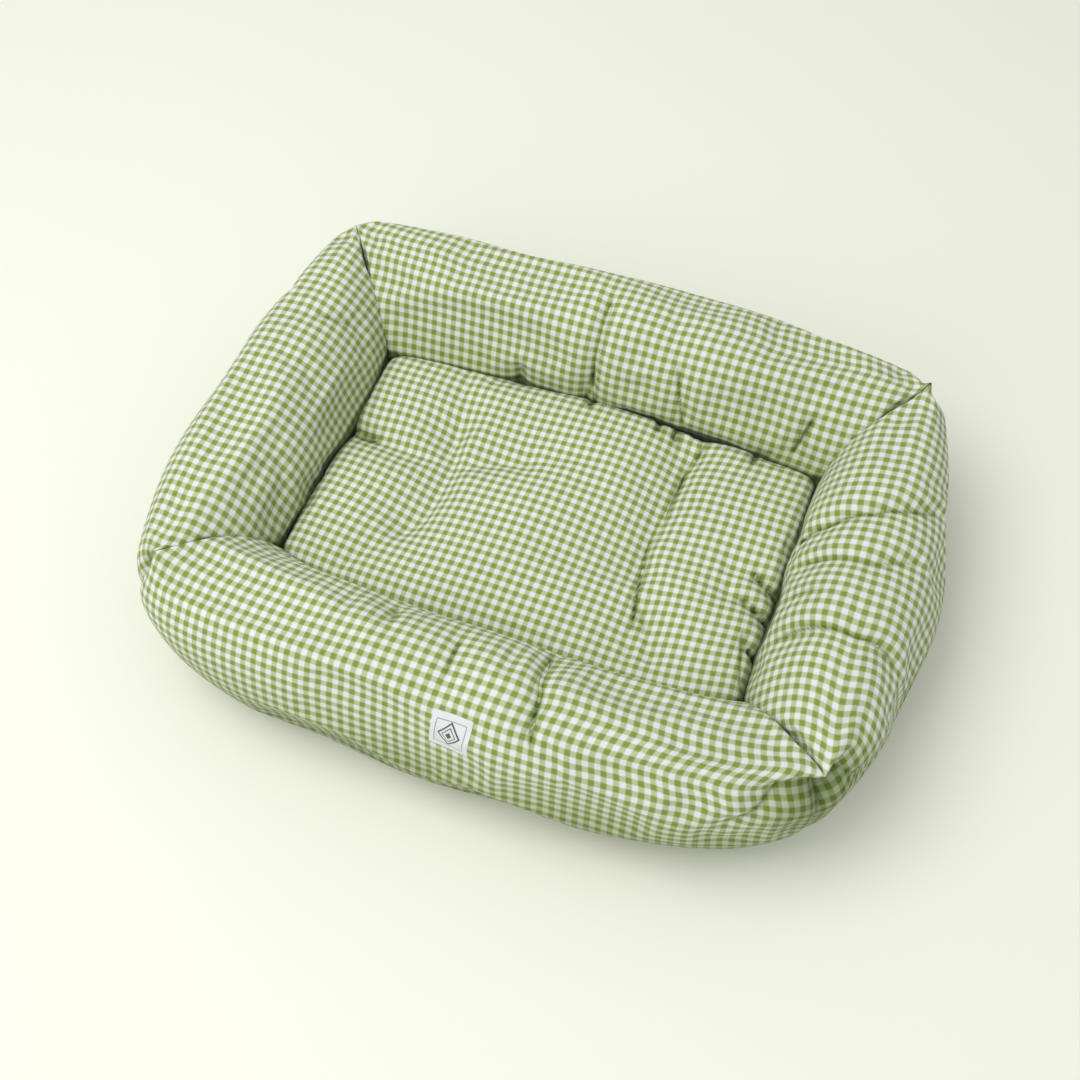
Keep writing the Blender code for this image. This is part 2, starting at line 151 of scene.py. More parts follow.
FOLDS = in_metres({
    "back": [
        ([(-15, 10), (-10, -48), (-12, -85), (-19, -122)], 7, 10),
        ([(-87, -90), (-87, -128)], 6, 7),
        ([(49, 14), (64, -35), (85, -105)], 3.4, 12),
        ([(207, -50), (193, -102)], 4.5, 10),
        ([(-165, 30), (-160, -30)], 1.4, 12),
        ([(140, 40), (150, -20)], 1.4, 12),
    ],
    "left": [
        ([(68, 15), (82, -20), (96, -55)], 2.6, 12),
        ([(32, 10), (15, -45)], 2, 12),
        ([(-70, -50), (-92, -85)], 2.6, 12),
        ([(120, 60), (105, 20)], 1.8, 12),
    ],
    "right": [
        ([(24, -86), (38, -40), (47, -10), (83, 62)], 8, 13, 0.4),
        ([(-8, -88), (-6, -40), (-6, 0), (18, 48)], 6.8, 13, 0.4),
        ([(-85, -85), (-78, -35), (-75, 4), (-84, 60)], 8.5, 14, 0.4),
        ([(-45, -80), (-40, -30)], 2.2, 10),
        ([(90, 20), (112, 60)], 2, 10),
        ([(-199, 14), (-181, 41), (-155, 72), (-120, 98)], 5, 10),
    ],
    "front": [
        ([(-112, -46), (-104, -10)], 2.6, 10),
        ([(-72, -52), (-66, -20)], 3.6, 9),
        ([(-8, -40), (-4, 0), (8, 30)], 3.4, 12),
        ([(42, -48), (44, -10)], 2.4, 8),
        ([(67, -60), (72, -10), (81, 45)], 7.5, 12),
        ([(90, 10), (102, 52)], 2, 9),
        ([(298, 10), (287, 19), (268, 43), (235, 74)], 5.5, 11),
    ],
})
# Ridges have the same form: the lips that stand out over the folds under the front right tip.
RIDGES = in_metres({
    "front": [
        ([(280, 0), (262, 20), (235, 46)], 5.5, 18),
    ],
    "right": [
        ([(-180, 4), (-155, 36), (-125, 62)], 5.5, 18),
    ],
})
# Creases are thin and sharp, and painted dark as shade, since their two sides nearly touch.
CREASES = in_metres({
    "back": [
        ([(-13, 0), (-10, -48), (-12, -85), (-19, -124)], 3, 1.6),
        ([(-12, -85), (-5, -122)], 3, 1.8),
        ([(-87, -100), (-87, -130)], 3.2, 2.2),
        ([(70, -50), (85, -108)], 1.2, 1.4),
        ([(204, -60), (195, -98)], 1.4, 1.8),
    ],
    "right": [
        ([(24, -88), (32, -62)], 2.6, 1.8),
        ([(28, -70), (38, -40), (47, -10), (75, 48)], 1.2, 1.5),
        ([(-7, -75), (-6, -40), (-6, 0), (14, 38)], 0.9, 1.4),
        ([(-83, -75), (-78, -35), (-75, 4), (-83, 50)], 1.1, 1.5),
        ([(-43, -70), (-41, -40)], 0.8, 1.3),
        ([(-199, 14), (-181, 41), (-155, 72)], 1.2, 2.2),
    ],
    "left": [
        ([(80, -15), (94, -50)], 0.8, 1.4),
    ],
    "front": [
        ([(-72, -52), (-67, -25)], 1.2, 1.5),
        ([(-6, -30), (-3, 6)], 1.2, 1.5),
        ([(67, -62), (71, -20), (76, 8), (83, 40)], 1.8, 1.7),
        ([(298, 10), (287, 19), (268, 43), (245, 66)], 1, 2.4),
    ],
})
# The cushion's folds and creases, in the frame's own x and y.
CUSHION_FOLDS = in_metres([
    ([(-224, 29), (-206, 26), (-160, 22), (-108, 20)], 12, 18),
    ([(-122, 84), (-117, 50), (-106, 18), (-106, -16), (-113, -46), (-130, -78)], 16.5, 22, -0.45),
    ([(-106, 18), (-87, 29), (-60, 40), (-30, 48)], 11, 18, 0.3),
    ([(112, 126), (102, 90), (99, 36), (94, -3), (103, -49)], 16, 20, -0.45),
    ([(103, -49), (124, -82), (139, -116)], 11, 15),
    ([(99, -40), (110, -85), (121, -119)], 8, 13),
    ([(224, -10), (212, -4), (194, 5), (165, 3)], 7, 9, 0.3),
    ([(224, -38), (212, -32), (192, -24), (172, -17)], 7, 9, 0.3),
    ([(226, -74), (206, -62)], 4, 7),
])
CUSHION_CREASES = in_metres([
    ([(-224, 30), (-206, 27), (-190, 25)], 5, 3.5),
    ([(112, 130), (102, 90), (100, 40), (96, 0), (103, -49), (112, -86)], 1.6, 1.5),
    ([(108, -60), (122, -82)], 0.8, 1.5),
    ([(224, -10), (212, -4), (194, 5)], 3.6, 2),
    ([(224, -38), (212, -32), (192, -24)], 4, 2),
    ([(226, -76), (212, -68)], 3.6, 2.4),
    ([(203, -56), (209, -80), (217, -108)], 1, 1.5),
    ([(62, 140), (64, 122)], 4, 3),
    ([(81, 140), (82, 120)], 4, 3),
    ([(161, 140), (160, 116)], 4.5, 3),
    ([(-7, 142), (-8, 126)], 3, 3),
])
# Its fuller places, in metres: the middle of each, its reach and its height.
CUSHION_SWELLS = [
    ((-0.175, 0.085), 0.055, 0.0040),
    ((-0.175, -0.055), 0.065, 0.0050),
    ((-0.020, -0.020), 0.085, 0.0080),
    ((0.020, 0.090), 0.070, 0.0050),
    ((0.165, 0.060), 0.055, 0.0070),
    ((0.150, -0.060), 0.050, 0.0050),
]


# ---- grids of points ----
def signed_power(value, exponent):
    return np.sign(value) * np.abs(value) ** exponent


def ramp(value, low, high):
    """0 below low, 1 above high and smooth between."""
    share = np.clip((value - low) / (high - low), 0.0, 1.0)
    return share * share * (3 - 2 * share)


def normals(grid):
    """Unit normals of a grid, turned to the side that its middle's point up."""
    across = np.gradient(grid, axis=0)
    down = np.gradient(grid, axis=1)
    made = np.cross(across, down)
    made /= np.maximum(np.linalg.norm(made, axis=-1, keepdims=True), 1e-12)
    middle = made[made.shape[0] // 2, made.shape[1] // 2]
    return made * (1.0 if middle[2] > 0 else -1.0)


def refined(grid, factor=FINER):
    """The grid with its steps divided by factor, on smooth curves through its points."""
    for axis in (0, 1):
        line = np.moveaxis(grid, axis, 0)
        before, after = 2 * line[:1] - line[1:2], 2 * line[-1:] - line[-2:-1]
        longer = np.concatenate([before, line, after])
        place = np.arange(factor * (len(line) - 1) + 1) / factor
        low = np.minimum(place.astype(int), len(line) - 2)
        t = (place - low).reshape(-1, 1, 1)
        a, b, c, d = (longer[low + k] for k in range(4))
        bend = 2 * a - 5 * b + 4 * c - d + t * (3 * (b - c) + d - a)
        grid = np.moveaxis(b + 0.5 * t * (c - a + t * bend), 0, axis)
    return grid


def along_line(u, v, points):
    """Distance of each u, v from a line through the points, its place along it from 0 to 1,
    and its side of the line, from -1 on the right to 1 on the left."""
    lengths = [math.dist(a, b) for a, b in zip(points, points[1:])]
    best = np.full(u.shape, 1e9)
    place = np.zeros(u.shape)
    side = np.zeros(u.shape)
    walked = 0.0
    for (a, b), length in zip(zip(points, points[1:]), lengths):
        share = ((u - a[0]) * (b[0] - a[0]) + (v - a[1]) * (b[1] - a[1])) / length ** 2
        share = np.clip(share, 0.0, 1.0)
        away = np.hypot(u - a[0] - share * (b[0] - a[0]), v - a[1] - share * (b[1] - a[1]))
        nearer = away < best
        best = np.where(nearer, away, best)
        place = np.where(nearer, (walked + share * length) / sum(lengths), place)
        turned = (b[0] - a[0]) * (v - a[1]) - (b[1] - a[1]) * (u - a[0])
        side = np.where(nearer, np.clip(turned / length / 0.002, -1.0, 1.0), side)
        walked += length
    return best, place, side


def fold_depth(u, v, folds, narrow=1.0, ends=0.22):
    """How deep the folds press at each u, v. Each fades out towards both its ends."""
    deepest = np.zeros(u.shape)
    for points, depth, width, *lean in folds:
        away, place, side = along_line(u, v, points)
        fade = ramp(place, -0.10, ends) * ramp(1 - place, -0.10, ends)
        reach = width * narrow * (1 + side * (lean[0] if lean else 0.0))
        deepest = np.maximum(deepest, depth * fade * np.exp(-(away / reach) ** 1.3))
    return deepest


def creased(u, v, creases):
    """The depth of the creases at each u, v, and how much painted shade darkens them, 0 to 1."""
    depth = fold_depth(u, v, creases, ends=0.2)
    dark = fold_depth(u, v, [(points, min(1.0, deep / 0.0016), 1.3 * wide)
                             for points, deep, wide in creases], ends=0.1)
    return depth, dark


def unevenness(u, v, size, seed):
    """A smooth, repeatable unevenness from about -1 to 1, whose lumps are of that size."""
    dice = np.random.default_rng(seed)
    total = np.zeros(np.broadcast(u, v).shape)
    for _ in range(9):
        heading = dice.uniform(0, 2 * math.pi)
        wave = 2 * math.pi / (2 * size * dice.uniform(0.7, 1.5))
        phase = dice.uniform(0, 2 * math.pi)
        total += np.sin(wave * (u * math.cos(heading) + v * math.sin(heading)) + phase)
    return total / 4.5


# ---- the walls' plain shape ----
def oval(turn, inner, outer, top):
    """A stuffed wall's section: turn runs 0 at the inner seam, 0.5 at the crest, 1 outside."""
    depth = WIDEST_Z - SEAM_Z
    lowest = math.radians(-74)
    angle = lowest + (math.pi - 2 * lowest) * turn
    rise = np.sin(angle)
    scale = np.where(rise > 0, top - WIDEST_Z, depth / abs(math.sin(lowest)))
    reach = (inner + outer) / 2
    return (outer - inner) / 2 - reach * signed_power(np.cos(angle), 0.9), WIDEST_Z + scale * rise


def pinch(turn, inset, corner):
    """Section along a corner seam: a straight inner seam, the tip, a tuck, a rounded foot."""
    rise = 1 - np.abs(2 * turn - 1)
    blunt = corner["blunt"]
    fall = (np.sqrt((1 - rise) ** 2 + blunt ** 2) - blunt) / (math.hypot(1, blunt) - blunt)
    height = TIP_Z - (TIP_Z - SEAM_Z) * fall
    leaning = np.maximum(0.0, (rise - SEATED) / (1 - SEATED))
    tucked = 0.93 + 0.07 * np.minimum(1.0, rise / SEATED)
    inside = -inset * tucked * (1 - leaning)
    fallen = 1 - rise
    foot = corner["out"] * np.sin(math.pi * fallen ** 0.85) - FOOT_TUCK * fallen ** 6
    return np.where(turn <= 0.5, inside, foot - tucked_in(turn, corner)), height


def tucked_in(turn, corner):
    """How far the cloth is drawn in under a corner's tip."""
    fallen = np.maximum(0.0, 2 * turn - 1)
    return corner["tuck"] * np.exp(-((fallen - 0.17) / 0.11) ** 2) * ramp(fallen, 0.0, 0.07)


def corner_of(name, end):
    if name in ("front", "back"):
        return CORNERS[name, "right" if end > 0 else "left"]
    return CORNERS["back" if end > 0 else "front", name]


def neighbour_inset(name, end):
    if name in ("front", "back"):
        return WALLS["right" if end > 0 else "left"]["corner"]
    return WALLS["back" if end > 0 else "front"]["corner"]


def half_length(name):
    return TIP_X if name in ("front", "back") else (TIP_BACK_Y - TIP_FRONT_Y) / 2


def tip_of(end, side):
    """Where the top of a corner lies before the stuffing pulls it out of place."""
    return np.array([TIP_X if side == "right" else -TIP_X,
                     TIP_BACK_Y if end == "back" else TIP_FRONT_Y, TIP_Z])


def wall_side(name, along, turn, end):
    """Offset outside the tip line, height, and the corner seam's reach, for one half of a wall."""
    wall = WALLS[name]
    corner = corner_of(name, end)
    far = np.abs(along)
    higher = 1 - far ** wall["crest"][1 if end > 0 else 0]
    beside = np.clip((1 - far) * half_length(name) / SHOULDER, 0.0, 1.0)
    rounding = np.sqrt(1 - (1 - beside) ** 2)
    sharp = pinch(turn, wall["corner"], corner)
    soft = oval(turn, wall["corner"], corner["out"] + 0.0015, TIP_Z)
    above = np.clip((soft[1] - WIDEST_Z) / (TIP_Z - WIDEST_Z), 0.0, 1.0)
    soft = soft[0] + 0.46 * (wall["corner"] - corner["out"]) * above ** 1.5, soft[1]
    middle = oval(turn, wall["inner"], wall["outer"], CREST_Z)
    bulge = np.clip((along - wall["peak"]) * end / (1 - wall["peak"] * end), 0.0, 1.0)
    spread = np.exp(-((1 - far) * half_length(name) / TUCK_REACH) ** 2)
    soft = soft[0] - tucked_in(turn, corner) * spread, soft[1]
    belly = (1 - bulge ** wall["belly"][1 if end > 0 else 0]) ** 0.7
    wider = np.where(turn > 0.5, belly, 1 - far ** 3)
    offset = sharp[0] + (soft[0] - sharp[0]) * rounding
    height = sharp[1] + (soft[1] - sharp[1]) * rounding
    offset = offset + (middle[0] - offset) * wider
    height = height + (middle[1] - height) * higher
    seam = pinch(turn, neighbour_inset(name, end), corner)[0]
    return offset, np.maximum(height, SEAM_Z), seam


def wall_shape(name, along, turn):
    """The plain stuffed wall as a grid: along runs -1 to 1, turn 0 to 1."""
    along, turn = np.meshgrid(along, turn, indexing="ij")
    low = wall_side(name, along, turn, -1)
    high = wall_side(name, along, turn, 1)
    offset, height, seam = (np.where(along > WALLS[name]["peak"], b, a)
                            for a, b in zip(low, high))
    if name in ("front", "back"):
        x = along * (TIP_X + seam)
        y = TIP_BACK_Y + offset if name == "back" else TIP_FRONT_Y - offset
    else:
        side = -1 if name == "left" else 1
        x = side * (TIP_X + offset)
        y = (TIP_BACK_Y + TIP_FRONT_Y) / 2 + along * ((TIP_BACK_Y - TIP_FRONT_Y) / 2 + seam)
    grid = np.stack([x, y, height], axis=-1)
    for (end, side), corner in CORNERS.items():
        away = np.linalg.norm(grid - tip_of(end, side), axis=-1, keepdims=True)
        grid = grid + np.exp(-(away / PULL_REACH) ** 2) * np.array(corner["pull"])
    return grid


def wall_steps(name):
    """Steps from corner to corner, closer together near the corners."""
    even = np.linspace(-1, 1, 2 * round(half_length(name) / GRID) + 1)
    return 0.4 * np.sin(even * math.pi / 2) + 0.6 * even


def evened(values, axis):
    """Values of a grid smoothed along one axis over about 20 mm."""
    reach = max(2, round(values.shape[axis] / 18))
    bell = np.exp(-0.5 * (np.arange(-3 * reach, 3 * reach + 1) / reach) ** 2)
    wider = [(3 * reach, 3 * reach) if k == axis else (0, 0) for k in (0, 1)]
    padded = np.pad(values, wider, mode="edge")
    return np.apply_along_axis(np.convolve, axis, padded, bell / bell.sum(), mode="valid")


def walked(steps, axis):
    """How far over the cloth each point lies from its grid's first line, by the steps between."""
    lengths = evened(np.linalg.norm(steps, axis=-1), 1 - axis)
    first = np.zeros_like(lengths.take([0], axis))
    return np.concatenate([first, np.cumsum(lengths, axis)], axis)


def from_middle(values, axis):
    """A grid's values less those on its middle line."""
    return values - values.take([values.shape[axis] // 2], axis)


def cloth_map(name, grid):
    """Where each point of a wall lies on its flat cloth: metres along and round from the crest."""
    girth = np.diff(grid, axis=1)
    girth[..., 0 if name in ("front", "back") else 1] = 0.0
    u = from_middle(walked(np.diff(grid, axis=0), 0), 0)
    return np.stack([u, from_middle(walked(girth, 1), 1)], axis=-1)


# ---- cloth simulation ----
def settle(name, points, faces, held, pressure, slack, frames, cap):
    """Swell a cloth from its cut shape and return where its points settle.

    held is how firmly each point stays in place, slack the share of extra cloth that it is cut
    with, and cap the furthest that a point may move.
    """
    mesh = bpy.data.meshes.new(name)
    mesh.from_pydata(points.tolist(), [], faces.tolist())
    thing = bpy.data.objects.new(name, mesh)
    bpy.context.scene.collection.objects.link(thing)
    group = thing.vertex_groups.new(name="held")
    levels = np.round(held * 20).astype(int)
    for level in range(1, 21):
        group.add(np.nonzero(levels == level)[0].tolist(), level / 20, "REPLACE")
    cloth = thing.modifiers.new("cloth", "CLOTH")
    rules = cloth.settings
    for key, value in CLOTH_RULES.items():
        setattr(rules, key, value)
    rules.shrink_min = -slack
    rules.uniform_pressure_force = pressure
    rules.effector_weights.gravity = 0
    cloth.collision_settings.use_collision = False
    scene = bpy.context.scene
    scene.frame_start, scene.frame_end = 1, frames
    cloth.point_cache.frame_start, cloth.point_cache.frame_end = 1, frames
    for number in range(1, frames + 1):
        scene.frame_set(number)
    shown = thing.evaluated_get(bpy.context.evaluated_depsgraph_get())
    settled = np.empty(len(points) * 3)
    shown.data.vertices.foreach_get("co", settled)
    settled = settled.reshape(-1, 3)
    bpy.data.objects.remove(thing, do_unlink=True)
    scene.frame_set(1)
    moved = settled - points
    far = np.linalg.norm(moved, axis=-1, keepdims=True)
    capped = cap * np.tanh(far / cap)
    return points + moved * capped / np.maximum(far, 1e-9)


def ring_faces(count, rows):
    """Quads of a grid whose first axis closes on itself."""
    i, j = np.meshgrid(np.arange(count), np.arange(rows - 1), indexing="ij")
    k = (i + 1) % count
    corners = [i * rows + j, k * rows + j, k * rows + j + 1, i * rows + j + 1]
    return np.stack(corners, axis=-1).reshape(-1, 4)


def grid_faces(count, rows):
    return ring_faces(count, rows)[:(count - 1) * (rows - 1)]


def plain_walls():
    """The four walls with their broad folds pressed in, before the cloth swells."""
    turn = np.linspace(0, 1, 2 * round(WALL_GIRTH / 2 / GRID) + 1)
    made = {}
    for number, name in enumerate(WALLS):
        grid = wall_shape(name, wall_steps(name), turn)
        flat = cloth_map(name, grid)
        u, v = flat[..., 0], flat[..., 1]
        ends = ramp(1 - np.abs(wall_steps(name)), 0.0, 0.04)[:, None]
        seams = ramp(0.5 - np.abs(turn - 0.5), 0.0, 0.08)[None, :]
        lumps = 0.0009 * unevenness(u, v, 0.060, number)
        ridges = fold_depth(u, v, RIDGES.get(name, []))
        push = (lumps + ridges - fold_depth(u, v, FOLDS[name])) * ends * seams
        made[name] = grid + normals(grid) * push[..., None]
    return made


def swollen_walls(walls):
    """All four walls as one ring of cloth, blown up between the seams that hold it."""
    strips = []
    holds = []
    for name, sense in RING:
        grid = walls[name][::sense]
        count, rows = grid.shape[:2]
        turn = np.linspace(0, 1, rows)
        held = np.zeros((count, rows))
        held[0] = np.where(turn <= 0.52, 1.0, 0.35 * ramp(0.62 - turn, 0.0, 0.1) + 0.1)
        flat = cloth_map(name, walls[name])[::sense]
        deep = fold_depth(flat[..., 0], flat[..., 1], FOLDS[name], narrow=0.35)
        held = np.maximum(held, 0.95 * ramp(deep, 0.0008, 0.0035))
        held = np.maximum(held, 0.6 * ramp(0.16 - turn, 0.0, 0.12)[None, :])
        held[:, 0] = 1.0
        held[:, -1] = 1.0
        strips.append(grid[:-1])
        holds.append(held[:-1])
    ring = np.concatenate(strips)
    held = np.concatenate(holds)
    # the corner seam of one strip's end is the next strip's first line
    count, rows = ring.shape[:2]
    faces = ring_faces(count, rows)
    settled = settle("ring", ring.reshape(-1, 3), faces, held.ravel(), pressure=2.0,
                     slack=0.005, frames=20, cap=0.008)
    ring = settled.reshape(count, rows, 3)
    made = {}
    start = 0
    for name, sense in RING:
        length = walls[name].shape[0]
        lines = [(start + i) % count for i in range(length)]
        made[name] = ring[lines][::sense]
        start += length - 1
    return made


# ---- meshes ----
def new_mesh(name, points, faces, flat=None, deep=None):
    """A smooth mesh. flat gives each point its place on the cut cloth, deep its painted shade, 0
    to 1.
    """
    mesh = bpy.data.meshes.new(name)
    mesh.from_pydata(points.tolist(), [], faces)
    if flat is not None:
        layer = mesh.uv_layers.new(name="cloth")
        layer.data.foreach_set("uv", flat[[k for face in faces for k in face]].ravel())
    if deep is not None:
        # the "fold" attribute holds the painted shade that the gingham multiplies its colour by
        mesh.attributes.new("fold", "FLOAT", "POINT").data.foreach_set("value", deep)
    mesh.shade_smooth()
    mesh.set_sharp_from_angle(angle=math.radians(75))
    thing = bpy.data.objects.new(name, mesh)
    bpy.context.scene.collection.objects.link(thing)
    return thing


def rim_of(count, rows):
    """The places of a grid's edge points, in order round it."""
    rim = [(i, 0) for i in range(count)]
    rim += [(count - 1, j) for j in range(1, rows)]
    rim += [(i, rows - 1) for i in range(count - 2, -1, -1)]
    rim += [(0, j) for j in range(rows - 2, 0, -1)]
    return np.array([i * rows + j for i, j in rim])


def faces_outward(grid, out):
    """True if the grid's own quads face the way that its normals point."""
    i, j = grid.shape[0] // 2, grid.shape[1] // 2
    across, down = grid[i + 1, j] - grid[i, j], grid[i, j + 1] - grid[i, j]
    return np.dot(np.cross(across, down), out[i, j]) > 0


def shell(name, grid, flat, deep=None, thickness=CLOTH, step=FINER):
    """A sheet of cloth with a real thickness: the grid is its outer face.

    The inner face, which is hidden, has one point to every step of the outer one's.
    """
    out = normals(grid)
    inner = (grid - out * thickness)[::step, ::step]
    count, rows = grid.shape[:2]
    total = count * rows
    few = inner.shape[:2]
    outer_faces = grid_faces(count, rows).tolist()
    inner_faces = (grid_faces(*few)[:, ::-1] + total).tolist()
    line = rim_of(count, rows)
    line = np.append(line, line[0]).tolist()
    back = rim_of(*few) + total
    back = np.append(back, back[0]).tolist()
    sides = [line[k * step:(k + 1) * step + 1][::-1] + [back[k], back[k + 1]]
             for k in range(len(back) - 1)]
    faces = outer_faces + inner_faces + sides
    if not faces_outward(grid, out):
        faces = [face[::-1] for face in faces]
    points = np.concatenate([grid.reshape(-1, 3), inner.reshape(-1, 3)])
    flat = np.concatenate([flat.reshape(-1, 2), flat[::step, ::step].reshape(-1, 2)])
    deep = np.zeros((count, rows)) if deep is None else deep
    deep = np.concatenate([deep.ravel(), deep[::step, ::step].ravel()])
    return new_mesh(name, points, faces, flat, deep)


def stuffed_between(name, upper, lower):
    """A closed body of fibre between two grids that have the same rows and columns."""
    count, rows = upper.shape[:2]
    total = count * rows
    top = grid_faces(count, rows)
    line = rim_of(count, rows)
    after = np.roll(line, -1)
    sides = np.stack([after, line, line + total, after + total], axis=-1)
    faces = np.concatenate([top, top[:, ::-1] + total, sides]).tolist()
    points = np.concatenate([upper.reshape(-1, 3), lower.reshape(-1, 3)])
    return new_mesh(name, points, faces)


def stuffed_along(name, rings):
    """A closed body of fibre through a row of rings, with both ends filled in."""
    count, rows = rings.shape[:2]
    around = ring_faces(rows, count).tolist()
    total = count * rows
    points = np.swapaxes(rings, 0, 1).reshape(-1, 3)
    points = np.concatenate([points, rings[:1].mean(axis=1), rings[-1:].mean(axis=1)])
    first = [[j * count, (j + 1) % rows * count, total] for j in range(rows)]
    last = [[j * count + count - 1, (j + 1) % rows * count + count - 1, total + 1][::-1]
            for j in range(rows)]
    return new_mesh(name, points, around + first + last)


# ---- materials ----
class Nodes:
    """Adds nodes to a new material and links them, from what they read to what they set."""

    def __init__(self, name, colour=(0.5, 0.5, 0.5), roughness=0.9, metallic=0.0):
        self.material = bpy.data.materials.new(name)
        self.material.use_nodes = True
        self.tree = self.material.node_tree
        self.shader = self.tree.nodes["Principled BSDF"]
        self.set(self.shader, {"Base Color": (*colour, 1.0), "Roughness": roughness,
                               "Metallic": metallic})

    def set(self, node, values):
        for key, value in values.items():
            if isinstance(value, bpy.types.NodeSocket):
                self.tree.links.new(value, node.inputs[key])
            else:
                node.inputs[key].default_value = value
        return node

    def add(self, kind, values=None, **settings):
        node = self.tree.nodes.new("ShaderNode" + kind)
        for key, value in settings.items():
            setattr(node, key, value)
        return self.set(node, values or {})

    def math(self, operation, a, b=0.0, clamp=False):
        return self.add("Math", {0: a, 1: b}, operation=operation, use_clamp=clamp).outputs[0]

    def range(self, value, low, high, to_low=0.0, to_high=1.0, smooth=True):
        kind = "SMOOTHSTEP" if smooth else "LINEAR"
        values = {"Value": value, "From Min": low, "From Max": high, "To Min": to_low,
                  "To Max": to_high}
        return self.add("MapRange", values, interpolation_type=kind).outputs["Result"]

    def times(self, a, b):
        return self.math("MULTIPLY", a, b)

    def uneven(self, noise, low, high):
        """A value that a noise spreads between low and high."""
        return self.range(noise, 0.3, 0.7, low, high, smooth=False)

    def wave(self, axis, pitch):
        return self.math("SINE", self.times(axis, 2 * math.pi / pitch))

    def ribs(self, wave):
        """A wave's height, 0 to 1."""
        return self.range(wave, -1.0, 1.0, smooth=False)

    def mix(self, share, a, b, blend="MIX"):
        node = self.add("Mix", data_type="RGBA", blend_type=blend)
        for key, value in ((0, share), (6, a), (7, b)):
            if isinstance(value, bpy.types.NodeSocket):
                self.tree.links.new(value, node.inputs[key])
            elif key == 0:
                node.inputs[key].default_value = value
            else:
                node.inputs[key].default_value = (*value, 1.0)
        return node.outputs[2]

    def noise(self, where, scale, detail=3.0, roughness=0.55):
        values = {"Vector": where, "Scale": scale, "Detail": detail, "Roughness": roughness}
        return self.add("TexNoise", values).outputs["Fac"]

    def bump(self, height, distance, strength=1.0, under=None):
        values = {"Height": height, "Distance": distance, "Strength": strength}
        if under is not None:
            values["Normal"] = under
        return self.add("Bump", values).outputs["Normal"]

    def flat(self):
        """The cloth's own metres, as separate u and v."""
        where = self.add("UVMap", uv_map="cloth").outputs["UV"]
        apart = self.add("SeparateXYZ", {0: where})
        return where, apart.outputs["X"], apart.outputs["Y"]

    def place(self):
        return self.add("TexCoord").outputs["Object"]


def weave(n, u, v, thread):
    """Height of a plain weave, 0 to 1, with one thread to each step."""
    return n.ribs(n.times(n.wave(u, thread), n.wave(v, thread)))


def gingham(name):
    """Yarn-dyed gingham: green and white stripes woven both ways, with each cover's painted shade
    multiplied into its colour.
    """
    n = Nodes(name)
    where, u, v = n.flat()
    wander = n.noise(where, 260.0, 2.0)
    drift = n.times(n.math("SUBTRACT", wander, 0.5), 0.0007)
    quarter = CHECK / 4
    bands = []
    for axis in (u, v):
        wave = n.math("PINGPONG", n.math("ADD", axis, drift), CHECK / 2)
        bands.append(n.range(wave, quarter * 0.66, quarter * 1.34))
    threads = weave(n, u, v, 0.0009)
    mixed = n.times(n.math("ADD", bands[0], bands[1]), 0.5)
    grain = n.times(n.math("SUBTRACT", threads, 0.5), 0.10)
    mixed = n.math("ADD", mixed, grain, clamp=True)
    tones = n.add("ValToRGB", {"Fac": mixed})
    stops = tones.color_ramp.elements
    stops[0].position, stops[0].color = 0.04, (*WHITE, 1.0)
    stops[1].position, stops[1].color = 0.96, (*GREEN, 1.0)
    stops.new(0.5).color = (*HALF_TONE, 1.0)
    patchy = n.noise(n.place(), 9.0, 3.0)
    shade = n.uneven(patchy, 0.95, 1.03)
    slub = n.uneven(n.noise(where, 900.0, 2.0), 0.96, 1.03)
    # painted shade, 0 to 1, read from each cover's "fold" attribute, tinted from none to near
    # black green
    painted_shade = n.add("Attribute", attribute_name="fold").outputs["Fac"]
    level = n.times(shade, slub)
    bright = n.add("HueSaturation", {"Color": tones.outputs["Color"], "Value": level})
    shadow = n.add("ValToRGB", {"Fac": painted_shade})
    darker = shadow.color_ramp.elements
    darker[0].color = (1.0, 1.0, 1.0, 1.0)
    darker[1].color = (0.035, 0.06, 0.010, 1.0)
    darker.new(0.3).color = (0.72, 0.76, 0.60, 1.0)
    darker.new(0.6).color = (0.36, 0.42, 0.24, 1.0)
    darker.new(0.85).color = (0.11, 0.16, 0.045, 1.0)
    # the gingham's colour multiplied by the painted shade
    shown = n.mix(1.0, bright.outputs["Color"], shadow.outputs["Color"], "MULTIPLY")
    bump = n.bump(threads, 0.00016, 0.5)
    bump = n.bump(n.noise(where, 420.0, 3.0), 0.0003, 0.35, bump)
    n.set(n.shader, {
        "Base Color": shown,
        "Roughness": n.uneven(n.noise(where, 120.0), 0.82, 0.94),
        "Normal": bump, "Sheen Weight": 0.16, "Sheen Roughness": 0.5,
        "Specular IOR Level": 0.2,
    })
    return n.material


def lining_cloth():
    """Plain green lining with a fine weave."""
    n = Nodes("lining")
    where, u, v = n.flat()
    threads = weave(n, u, v, 0.0011)
    slub = n.noise(where, 300.0, 4.0)
    colour = n.mix(slub, (0.50, 0.56, 0.36), (0.60, 0.65, 0.46))
    colour = n.mix(n.times(threads, 0.25), colour, (0.42, 0.48, 0.28))
    n.set(n.shader, {
        "Base Color": colour, "Sheen Weight": 0.2, "Specular IOR Level": 0.25,
        "Roughness": n.uneven(slub, 0.85, 0.95),
        "Normal": n.bump(threads, 0.0002, 0.6),
    })
    return n.material


def fibre_fill():
    n = Nodes("fibre_fill")
    tufts = n.noise(n.place(), 160.0, 8.0, 0.7)
    colour = n.mix(tufts, (0.78, 0.78, 0.74), (0.90, 0.90, 0.87))
    n.set(n.shader, {
        "Base Color": colour, "Sheen Weight": 0.3,
        "Roughness": n.uneven(tufts, 0.9, 1.0),
        "Normal": n.bump(tufts, 0.002, 0.7),
    })
    return n.material


